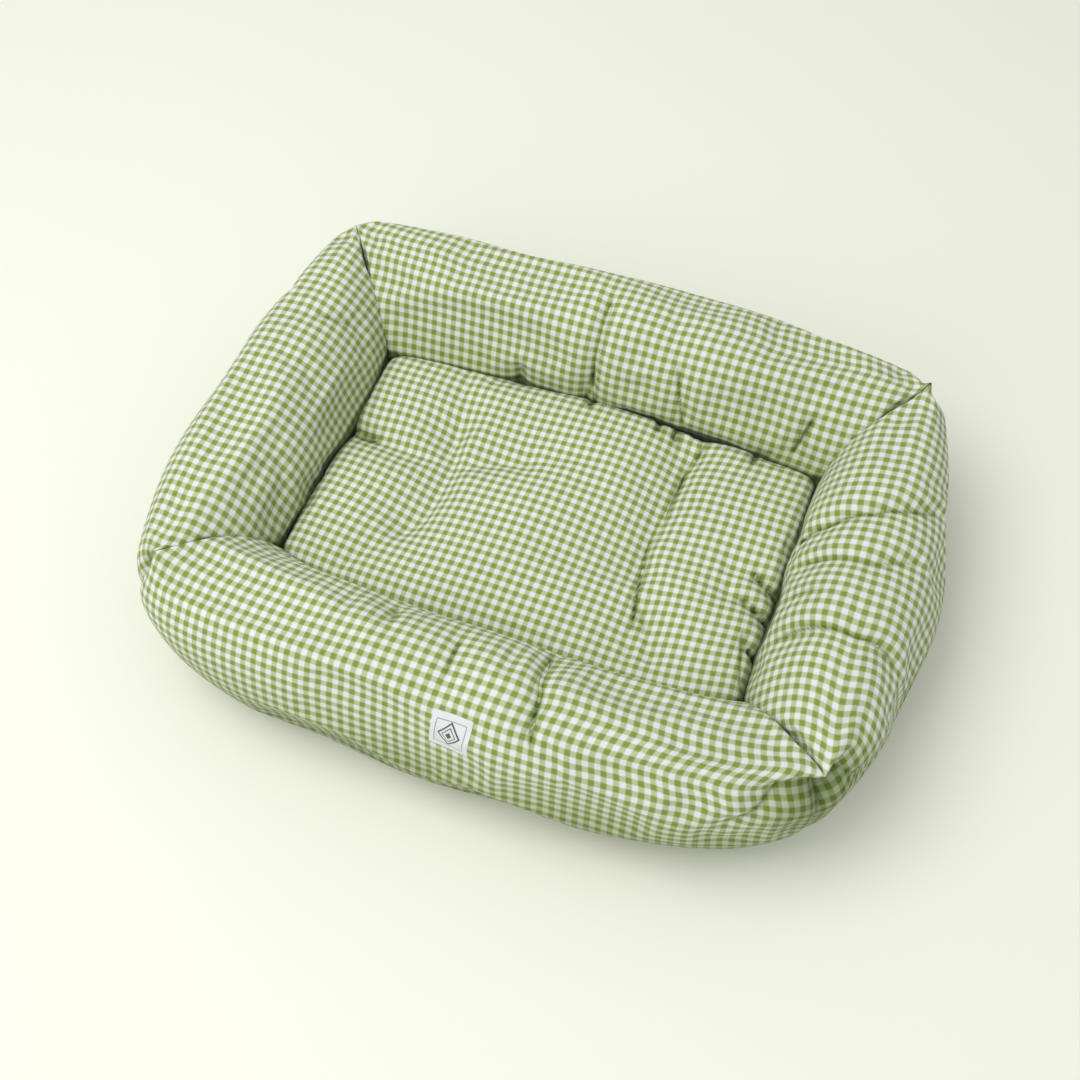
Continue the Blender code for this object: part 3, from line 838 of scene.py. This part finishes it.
def grip_cloth():
    """Dark non-slip cloth with rows of rubber dots."""
    n = Nodes("grip_cloth")
    where = n.place()
    apart = n.add("SeparateXYZ", {0: where})
    pitch = 0.009
    waves = [n.wave(apart.outputs[k], pitch) for k in ("X", "Y")]
    dots = n.range(n.times(*waves), 0.55, 0.75)
    cloth = n.noise(where, 900.0, 3.0)
    colour = n.mix(cloth, (0.055, 0.058, 0.048), (0.09, 0.093, 0.078))
    colour = n.mix(dots, colour, (0.03, 0.03, 0.028))
    bump = n.bump(cloth, 0.0003, 0.5)
    n.set(n.shader, {
        "Base Color": colour, "Roughness": n.range(dots, 0.0, 1.0, 0.9, 0.5),
        "Normal": n.bump(dots, 0.0007, 1.0, bump),
    })
    return n.material


def woven_label():
    """White damask ribbon with a plain woven border and a diamond, no lettering."""
    n = Nodes("woven_label")
    where, u, v = n.flat()
    ribs = n.ribs(n.wave(v, 0.0007))
    thread = 0.0005
    edge = n.math("MAXIMUM", n.math("ABSOLUTE", u), n.math("ABSOLUTE", v))
    border = n.math("LESS_THAN", n.math("ABSOLUTE", n.math("SUBTRACT", edge, 0.0128)), thread)
    reach = n.math("ADD", n.math("ABSOLUTE", u), n.times(n.math("ABSOLUTE", v), 0.8))
    rings = [n.math("LESS_THAN", n.math("ABSOLUTE", n.math("SUBTRACT", reach, far)), wide)
             for far, wide in ((0.0092, 0.0009), (0.0058, 0.0005))]
    heart = n.math("LESS_THAN", reach, 0.0028)
    motif = n.math("MAXIMUM", n.math("MAXIMUM", rings[0], rings[1]), heart)
    drawn = n.math("MAXIMUM", n.times(border, 0.55), motif)
    fuzz = n.noise(where, 1500.0, 2.0)
    cloth = n.mix(fuzz, (0.72, 0.73, 0.75), (0.86, 0.87, 0.89))
    cloth = n.mix(n.times(ribs, 0.12), cloth, (0.55, 0.55, 0.57))
    n.set(n.shader, {
        "Base Color": n.mix(drawn, cloth, (0.075, 0.09, 0.05)),
        "Roughness": n.uneven(fuzz, 0.55, 0.75),
        "Normal": n.bump(ribs, 0.00012, 0.7), "Sheen Weight": 0.2,
    })
    return n.material


def zip_cloth(name, dark, light, pitch, depth, roughness):
    """Zip tape or coil: ribs across the zip's length."""
    n = Nodes(name)
    where = n.place()
    apart = n.add("SeparateXYZ", {0: where})
    ribs = n.ribs(n.wave(apart.outputs["Y"], pitch))
    fuzz = n.noise(where, 1200.0, 2.0)
    n.set(n.shader, {
        "Base Color": n.mix(n.times(ribs, n.range(fuzz, 0.2, 0.8, 0.7, 1.0)),
                            dark, light),
        "Roughness": n.range(fuzz, 0.2, 0.8, roughness - 0.08, roughness + 0.08),
        "Normal": n.bump(ribs, depth, 0.8),
    })
    return n.material


def nickel():
    n = Nodes("nickel", metallic=1.0)
    rubbed = n.noise(n.place(), 700.0, 4.0)
    n.set(n.shader, {
        "Base Color": n.mix(rubbed, (0.56, 0.56, 0.54), (0.72, 0.72, 0.70)),
        "Roughness": n.uneven(rubbed, 0.22, 0.42),
        "Normal": n.bump(rubbed, 0.00005, 0.4),
    })
    return n.material


def studio_floor():
    n = Nodes("studio_floor")
    speck = n.noise(n.place(), 3.0, 2.0)
    n.set(n.shader, {
        "Base Color": n.mix(speck, (0.885, 0.893, 0.768), (0.90, 0.908, 0.785)),
        "Roughness": n.uneven(speck, 0.9, 0.95),
        "Specular IOR Level": 0.1,
    })
    return n.material


def finish_piece(piece, look, body, slot_name, *nodes, fill=None):
    """Give a piece its material and its body, and hide the CAD nodes that it stands for. Its slot
    name is not used.
    """
    piece.data.materials.append(look)
    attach(piece, body)
    if nodes:
        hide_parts(*nodes)


def relook(node, look):
    """A better material on a CAD node whose shape stays."""
    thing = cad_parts[node]
    for place in thing.material_slots:
        place.material = look


# ---- the walls ----
def sharpen_folds(name, grid):
    """Fine detail on the settled cloth: the folds' thin lines and the puckers at the seams, and
    the painted shade in its creases, seams, crevice, tucks and ears and towards the floor.
    """
    flat = cloth_map(name, grid)
    u, v = flat[..., 0], flat[..., 1]
    from_end = np.minimum(u - u[:1], u[-1:] - u)
    from_foot = np.minimum(v - v[:, :1], v[:, -1:] - v)
    free = ramp(from_end, 0.0, 0.010) * ramp(from_foot, 0.0, 0.012)
    line, dark = creased(u, v, CREASES[name])
    seed = list(WALLS).index(name)
    pucker = unevenness(v * 2.2, u * 0.25, 0.011, 20 + seed) * np.exp(-from_end / 0.012)
    gather = unevenness(u * 2.0, v * 0.3, 0.014, 30 + seed) * np.exp(-from_foot / 0.018)
    fine = unevenness(u, v, 0.009, 40 + seed) * 0.00012
    push = (0.0006 * pucker + 0.0005 * gather + fine - line) * free
    inside = ramp(0.004 - v, 0.0, 0.008)
    # painted shade: the creases' dark lines, and a thin dark line along the inner corner seams
    painted_shade = np.maximum(dark * free, inside * np.exp(-(from_end / 0.0024) ** 2))
    # painted shade in the crevice beside the cushion, on the walls' inner faces, lighter further
    # down
    beside = CUSHION_TOP_Z + 0.006 - grid[..., 2]
    lower = 0.78 - 0.45 * ramp(beside, 0.015, 0.045)
    painted_shade = np.maximum(painted_shade, inside * ramp(beside, 0.0, 0.009) * lower)
    # painted shade: the inner faces darker towards the nest's floor
    painted_shade = np.maximum(painted_shade, inside * 0.20 * ramp(0.125 - grid[..., 2], 0.0, 0.05))
    # painted shade: all of each wall darker towards the floor, as if lit from above
    painted_shade = np.maximum(painted_shade, 0.52 * ramp(0.135 - grid[..., 2], 0.0, 0.10))
    made = grid + normals(grid) * push[..., None]
    for (end, side), corner in CORNERS.items():
        tip = tip_of(end, side) + np.array(corner["pull"])
        away = np.linalg.norm(made - tip, axis=-1)
        # painted shade in the tuck under each tip
        shade, drop, reach = corner["shade"]
        below = np.linalg.norm(made - tip + (0.0, 0.0, drop), axis=-1)
        outside = ramp(v, 0.004, 0.004 + 0.4 * drop)
        painted_shade = np.maximum(painted_shade, shade * np.exp(-(below / reach) ** 4) * outside)
        away -= min(away.min(), 0.01)
        ear = np.exp(-(away / EAR_WIDTH) ** 2)[..., None]
        outward = tip * (0.3, 0.3, 0.0) / np.linalg.norm(tip[:2]) + (0.0, 0.0, 1.0)
        made = made + corner["ear"] * ear * outward
        # painted shade: each ear is dark
        painted_shade = np.maximum(painted_shade, ear[..., 0] * (corner["ear"] > 0))
    return made, painted_shade


def make_walls(look, fibre):
    walls = plain_walls()
    walls = swollen_walls(walls)
    made = {}
    for name, rough in walls.items():
        grid, painted_shade = sharpen_folds(name, refined(rough))
        flat = cloth_map(name, grid)
        cover = shell(f"{name}_wall", grid, flat, painted_shade)
        finish_piece(cover, look, "bed", "gingham_cover", f"{name}_wall_cover",
                     fill=WALL_FILL)
        line = creased(*np.moveaxis(cloth_map(name, rough), -1, 0), CREASES[name])[0]
        body = rough - normals(rough) * (FIBRE_INSET + line)[..., None]
        trim = max(2, body.shape[1] // 40)
        body = body[FIBRE_ENDS:-FIBRE_ENDS, trim:-trim]
        fill = stuffed_along(f"{name}_wall_fibre", body)
        finish_piece(fill, fibre, "bed", "fibre_fill", f"{name}_wall_fill",
                     fill=WALL_FILL)
        made[name] = grid
    return made


# ---- the cushion ----
def nest_edge(name, along):
    wall = WALLS[name]
    return wall["corner"] + (wall["inner"] - wall["corner"]) * (1 - np.abs(along) ** 3)


def cushion_plan(x):
    """The front and back edges of the cushion at x, which follow the walls."""
    along = np.clip(x / CUSHION_X, -1.0, 1.0)
    front = TIP_FRONT_Y + nest_edge("front", along) - PRESSED
    back = TIP_BACK_Y - nest_edge("back", along) + PRESSED
    rounding = 0.005 * np.abs(along) ** 40
    return front + rounding, back - rounding


def edge_steps(half_length):
    """Steps from -1 to 1, much closer together near both ends, where the cushion turns down."""
    even = np.linspace(-1, 1, 2 * round(half_length * 1.2 / GRID) + 1)
    closer = np.sin(even * math.pi / 2)
    return 0.85 * closer + 0.15 * np.sin(closer * math.pi / 2)


def fullness(u, v, boxiness):
    edge = (1 - np.abs(u) ** boxiness) * (1 - np.abs(v) ** boxiness)
    return np.sqrt(np.maximum(edge, 0.0))


def cushion_grid(u, v, height, boxiness):
    x = u * CUSHION_X
    front, back = cushion_plan(x)
    y = (front + back) / 2 + v * (back - front) / 2
    return np.stack([x, y, CUSHION_SEAM_Z + height * fullness(u, v, boxiness)], axis=-1)


def plain_cushion_top():
    u, v = np.meshgrid(edge_steps(CUSHION_X), edge_steps(CUSHION_HALF_Y), indexing="ij")
    grid = cushion_grid(u, v, CUSHION_TOP_Z - CUSHION_SEAM_Z, BOXY)
    x, y = grid[..., 0], grid[..., 1]
    rise = np.zeros(u.shape)
    for (cx, cy), wide, high in CUSHION_SWELLS:
        rise += high * np.exp(-(((x - cx) ** 2 + (y - cy) ** 2) / wide ** 2))
    rise += 0.0008 * unevenness(x, y, 0.045, 51)
    full = fullness(u, v, BOXY)
    pressed = fold_depth(x, y, CUSHION_FOLDS, ends=CUSHION_ENDS) * ramp(full, 0.0, 0.4)
    push = rise * ramp(full, 0.3, 0.9) - pressed
    return grid + normals(grid) * push[..., None]


def swollen_cushion(grid):
    count, rows = grid.shape[:2]
    deep = fold_depth(grid[..., 0], grid[..., 1], CUSHION_FOLDS, narrow=0.35,
                      ends=CUSHION_ENDS)
    held = 0.95 * ramp(deep, 0.0010, 0.0040)
    low = ramp(CUSHION_SEAM_Z + 0.012 - grid[..., 2], 0.0, 0.012)
    held = np.maximum(held, 0.8 * low)
    for edge in (np.s_[0], np.s_[-1], np.s_[:, 0], np.s_[:, -1]):
        held[edge] = 1.0
    faces = grid_faces(count, rows)
    settled = settle("top", grid.reshape(-1, 3), faces, held.ravel(), pressure=1.8,
                     slack=0.005, frames=20, cap=0.007)
    return settled.reshape(grid.shape)


def cushion_map(grid):
    """The cushion's flat cloth: metres from its middle lines, measured over the surface."""
    u = from_middle(walked(np.diff(grid, axis=0), 0), 0)
    u += grid[grid.shape[0] // 2, :, 0][None, :]
    return np.stack([u, from_middle(walked(np.diff(grid, axis=1), 1), 1)], axis=-1)


def sharpen_top(grid):
    """The settled top cover with its folds' thin lines and the puckers round its seam, and painted
    shade in its creases and round its rim.
    """
    x, y = grid[..., 0], grid[..., 1]
    line, dark = creased(x, y, CUSHION_CREASES)
    above = grid[..., 2] - CUSHION_SEAM_Z
    low = ramp(above, 0.002, 0.014)
    pucker = 0.0011 * unevenness(x * 1.6, y * 1.6, 0.013, 62) * np.exp(-above / 0.010)
    push = (0.00012 * unevenness(x, y, 0.009, 61) - line) * low
    push += pucker * ramp(above, 0.0, 0.004)
    u, v = np.moveaxis(cushion_map(grid), -1, 0)
    from_edge = np.minimum(np.minimum(u - u[:1], u[-1:] - u),
                           np.minimum(v - v[:, :1], v[:, -1:] - v))
    rim = CUSHION_TOP_Z - CUSHION_SEAM_Z
    # painted shade round the rim, where the cushion's shoulder drops into the crevice by the walls
    near_rim = 0.75 * ramp(rim - from_edge, 0.0, 0.012) * ramp(from_edge, -0.020, 0.020)
    painted_shade = np.maximum(dark, near_rim)
    made = grid + normals(grid) * push[..., None]
    made[..., 2] += GAP / 2
    return made, painted_shade


def zip_gap(y, side):
    """x of the underside's edge beside the zip: apart along the zip, together past its ends."""
    past = np.maximum(0.0, np.abs(y - ZIP_Y) - ZIP_LENGTH / 2 - 0.001)
    return ZIP_X + side * np.maximum(GAP / 2, ZIP_OPENING - past * 1.4)


def underside(side):
    """The underside on one side of the zip: 1 is the large panel, -1 the narrow strip."""
    narrow_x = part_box("cushion_bottom_cover")[1].x
    spread = CUSHION_X - narrow_x
    reach = narrow_x - side * ZIP_X
    count = FINER * max(3, round(reach / (GRID * FINER) * 1.6))
    rows = edge_steps(CUSHION_HALF_Y)
    share = np.sin(np.linspace(0, 1, count + 1) * math.pi / 2)
    share, v = np.meshgrid(share, refined(rows[:, None, None].repeat(2, axis=1))[:, 0, 0],
                           indexing="ij")
    drop = CUSHION_SEAM_Z - CUSHION_BOTTOM_Z
    y = ZIP_Y + v * 0.13     # a first guess, which the loop improves
    for _ in range(3):
        start = zip_gap(y, side) / narrow_x
        u = start + (side - start) * share
        x = u * narrow_x + spread * signed_power(u, 40)
        front, back = cushion_plan(x)
        y = (front + back) / 2 + v * (back - front) / 2
    full = fullness(u, v, UNDER_BOXY)
    made = np.stack([x, y, CUSHION_SEAM_Z - drop * full - GAP / 2], axis=-1)
    from_zip = np.abs(x - zip_gap(y, side))
    free = ramp(from_zip, 0.002, 0.020) * ramp(full, 0.0, 0.3)
    rough = 0.0011 * unevenness(x, y, 0.040, 71) + 0.0006 * unevenness(x, y, 0.014, 72)
    pucker = 0.0010 * unevenness(x * 1.6, y * 1.6, 0.012, 73) * np.exp(-drop * full / 0.012)
    out = -normals(made)
    return made + out * (np.minimum(rough, 0.0006) * free + pucker * free)[..., None]


def underside_map(grid, side):
    """Flat cloth of one underside panel: metres from the zip and from its middle line."""
    u = grid[:1, :, 0] + side * walked(np.diff(grid, axis=0), 0)
    return np.stack([u, from_middle(walked(np.diff(grid, axis=1), 1), 1)], axis=-1)


def make_cushion(look, fibre):
    rough = plain_cushion_top()
    rough = swollen_cushion(rough)
    top, painted_shade = sharpen_top(refined(rough))
    cover = shell("cushion_top", top, cushion_map(top) * CUSHION_SHRINK, painted_shade)
    finish_piece(cover, look, "cushion", "gingham_cushion", "cushion_top_cover", fill=CUSHION_FILL)
    for side, name, node in ((1, "cushion_underside", "cushion_bottom_cover"),
                             (-1, "cushion_underside_strip", "cushion_zip_strip")):
        grid = underside(side)
        flat = underside_map(grid, side) * CUSHION_SHRINK
        cover = shell(name, grid, flat, thickness=-CLOTH)
        finish_piece(cover, look, "cushion", "gingham_cushion", node, fill=CUSHION_FILL)
    line = creased(rough[..., 0], rough[..., 1], CUSHION_CREASES)[0]
    upper = (rough - normals(rough) * (0.0050 + line)[..., None])[2:-2, 2:-2]
    x, y = upper[..., 0], upper[..., 1]
    front, back = cushion_plan(x)
    v = (2 * y - front - back) / (back - front)
    drop = CUSHION_SEAM_Z - CUSHION_BOTTOM_Z - 0.003
    full = fullness(x / CUSHION_X, v, UNDER_BOXY)
    lower = np.stack([x, y, CUSHION_SEAM_Z - drop * full ** 3], axis=-1)
    lower[..., 2] = np.minimum(lower[..., 2], upper[..., 2] - 0.004)
    fill = stuffed_between("cushion_fibre", upper, lower)
    finish_piece(fill, fibre, "cushion", "fibre_fill", "cushion_fill", fill=CUSHION_FILL)


# ---- label, floor, camera and light ----
def sampled(grid, i, j):
    """Points of a grid at fractional places i, j, both arrays."""
    low_i = np.clip(np.floor(i).astype(int), 0, grid.shape[0] - 2)
    low_j = np.clip(np.floor(j).astype(int), 0, grid.shape[1] - 2)
    a, b = (i - low_i)[..., None], (j - low_j)[..., None]
    return ((1 - a) * (1 - b) * grid[low_i, low_j] + a * (1 - b) * grid[low_i + 1, low_j]
            + (1 - a) * b * grid[low_i, low_j + 1] + a * b * grid[low_i + 1, low_j + 1])


def make_label(wall, look):
    """The woven label, which has no lettering, laid on the front wall as it settled."""
    flat = cloth_map("front", wall)
    low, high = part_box("maker_label")
    away = np.linalg.norm(wall - np.array((low + high) / 2), axis=-1)
    column, row = np.unravel_index(away.argmin(), away.shape)
    centre = flat[column, row]
    steps = np.linspace(-LABEL_HALF, LABEL_HALF, 27)
    lu, lv = np.meshgrid(steps, steps * LABEL_TALL, indexing="ij")
    skew = -0.0028 * (lv + LABEL_HALF) / (2 * LABEL_HALF)
    u = centre[0] + lu + skew
    v = centre[1] + lv
    per_i = np.interp(u, flat[:, row, 0], np.arange(len(flat)))
    per_j = np.interp(v, flat[column, :, 1], np.arange(wall.shape[1]))
    points = sampled(wall, per_i, per_j)
    out = sampled(normals(wall), per_i, per_j)
    out /= np.linalg.norm(out, axis=-1, keepdims=True)
    edge = np.maximum(np.abs(lu), np.abs(lv / LABEL_TALL)) / LABEL_HALF
    lift = 0.0012 - 0.0004 * ramp(edge, 0.75, 1.0)
    grid = points + out * lift[..., None]
    label = shell("woven_label_patch", grid, np.stack([lu, lv], axis=-1), thickness=0.0008, step=1)
    finish_piece(label, look, "bed", "woven_label", "maker_label")


def between_walls(turn):
    """A grid of points filling in the line that the walls make at one turn round them."""
    along = wall_steps("front")
    across = wall_steps("left")
    seam = np.array([turn])
    front, back = (wall_shape(name, along, seam)[:, 0] for name in ("front", "back"))
    left, right = (wall_shape(name, across, seam)[:, 0] for name in ("left", "right"))
    s = (along[:, None, None] + 1) / 2
    t = (across[None, :, None] + 1) / 2
    edges = (1 - t) * front[:, None] + t * back[:, None] + (1 - s) * left[None] + s * right[None]
    corners = (1 - s) * ((1 - t) * front[0] + t * back[0])
    corners = corners + s * ((1 - t) * front[-1] + t * back[-1])
    return edges - corners


def make_base(look):
    """The non-slip base: a flat panel sewn to the walls' outer seams."""
    grid = between_walls(1.0)
    cornered = np.abs(wall_steps("front"))[:, None] * np.abs(wall_steps("left"))[None]
    grid *= 1 - BASE_ROUNDED * cornered[..., None] ** 12
    low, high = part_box("base_panel")
    grid[..., 2] = high.z
    flat = grid[..., :2].copy()
    base = shell("non_slip_base", grid, flat, thickness=high.z - low.z, step=1)
    finish_piece(base, look, "bed", "grip_cloth", "base_panel")
    float(abs(cut_area(grid)))


def make_floor_lining(look):
    """The nest's floor: a sheet of lining sewn in between the walls' inner seams."""
    grid = between_walls(0.0)
    grid[..., :2] *= 1 - 0.0010 / TIP_X
    x, y = grid[..., 0], grid[..., 1]
    rise = 0.0004 * unevenness(x, y, 0.030, 81) + 0.0003 * unevenness(x * 0.4, y, 0.010, 82)
    grid[..., 2] = SEAM_Z + CLOTH + np.clip(rise + 0.0003, 0.0, 0.0009)
    sheet = shell("nest_floor_lining", grid, grid[..., :2].copy(), thickness=0.0008, step=1)
    finish_piece(sheet, look, "bed", "lining", "floor_panel")
    area = float(abs(cut_area(grid)))


def cut_area(grid):
    """Area in plan inside a grid's edge."""
    line = grid.reshape(-1, 3)[rim_of(*grid.shape[:2])]
    after = np.roll(line, -1, axis=0)
    return ((line[:, 0] * after[:, 1] - after[:, 0] * line[:, 1]).sum()) / 2


def make_camera():
    azimuth, elevation, roll = (math.radians(a) for a in CAMERA_ANGLES)
    back = Vector((math.sin(azimuth) * math.cos(elevation),
                   -math.cos(azimuth) * math.cos(elevation), math.sin(elevation)))
    right = Vector((math.cos(azimuth), math.sin(azimuth), 0))
    up = back.cross(right)
    turned = [math.cos(roll) * right + math.sin(roll) * up,
              math.cos(roll) * up - math.sin(roll) * right, back]
    camera = bpy.data.objects.new("camera", bpy.data.cameras.new("camera"))
    facing = Matrix(turned).transposed().to_4x4()
    camera.matrix_world = Matrix.Translation(CAMERA_PLACE) @ facing
    camera.data.sensor_width = 36
    camera.data.lens = CAMERA_LENS
    bpy.context.scene.collection.objects.link(camera)
    bpy.context.scene.camera = camera


def area_light(name, place, size, power, colour=(1, 1, 1)):
    lamp = bpy.data.lights.new(name, "AREA")
    lamp.shape = "DISK"
    lamp.size = size
    lamp.energy = power
    lamp.color = colour
    thing = bpy.data.objects.new(name, lamp)
    thing.location = place
    thing.rotation_mode = "QUATERNION"
    thing.rotation_quaternion = (-Vector(place)).to_track_quat("-Z", "Y")
    bpy.context.scene.collection.objects.link(thing)


def make_studio():
    floor = bpy.data.meshes.new("floor")
    far = 4.0
    floor.from_pydata([(-far, -far, -0.0002), (far, -far, -0.0002), (far, far, -0.0002),
                       (-far, far, -0.0002)], [], [(0, 1, 2, 3)])
    thing = bpy.data.objects.new("floor", floor)
    floor.materials.append(studio_floor())
    bpy.context.scene.collection.objects.link(thing)
    world = bpy.data.worlds.new("studio")
    bpy.context.scene.world = world
    world.use_nodes = True
    tree = world.node_tree
    backdrop = tree.nodes["Background"]
    backdrop.inputs["Color"].default_value = (0.97, 0.98, 1.0, 1.0)
    where = tree.nodes.new("ShaderNodeTexCoord").outputs["Generated"]
    apart = tree.nodes.new("ShaderNodeSeparateXYZ")
    tree.links.new(where, apart.inputs[0])
    softbox = tree.nodes.new("ShaderNodeMapRange")
    for key, value in (("From Min", 0.0), ("From Max", 0.5), ("To Min", 0.25), ("To Max", 0.70)):
        softbox.inputs[key].default_value = value
    tree.links.new(apart.outputs["Z"], softbox.inputs["Value"])
    tree.links.new(softbox.outputs["Result"], backdrop.inputs["Strength"])
    area_light("key", (-0.9, -0.5, 2.4), 1.8, 28)
    area_light("fill", (-0.3, -2.2, 1.7), 1.6, 10)
    bpy.context.scene.view_settings.view_transform = "Standard"


# ---- everything ----
cover_cloth = gingham("gingham")
cushion_cloth = gingham("cushion_gingham")
fibre = fibre_fill()

wall_grids = make_walls(cover_cloth, fibre)
make_cushion(cushion_cloth, fibre)
make_label(wall_grids["front"], woven_label())
make_base(grip_cloth())
make_floor_lining(lining_cloth())
tape_look = zip_cloth("zip_tape", (0.09, 0.13, 0.035), (0.16, 0.22, 0.07), 0.0006, 0.0001, 0.85)
coil_look = zip_cloth("zip_coil", (0.08, 0.12, 0.03), (0.17, 0.23, 0.07), 0.0012, 0.0004, 0.45)
metal = nickel()
for node in ("zip_outer_tape", "zip_inner_tape"):
    relook(node, tape_look)
for node in ("zip_outer_coil", "zip_inner_coil"):
    relook(node, coil_look)
for node in ("zip_front_stop", "zip_back_stop", "zip_slider", "zip_pull"):
    relook(node, metal)

make_camera()
make_studio()
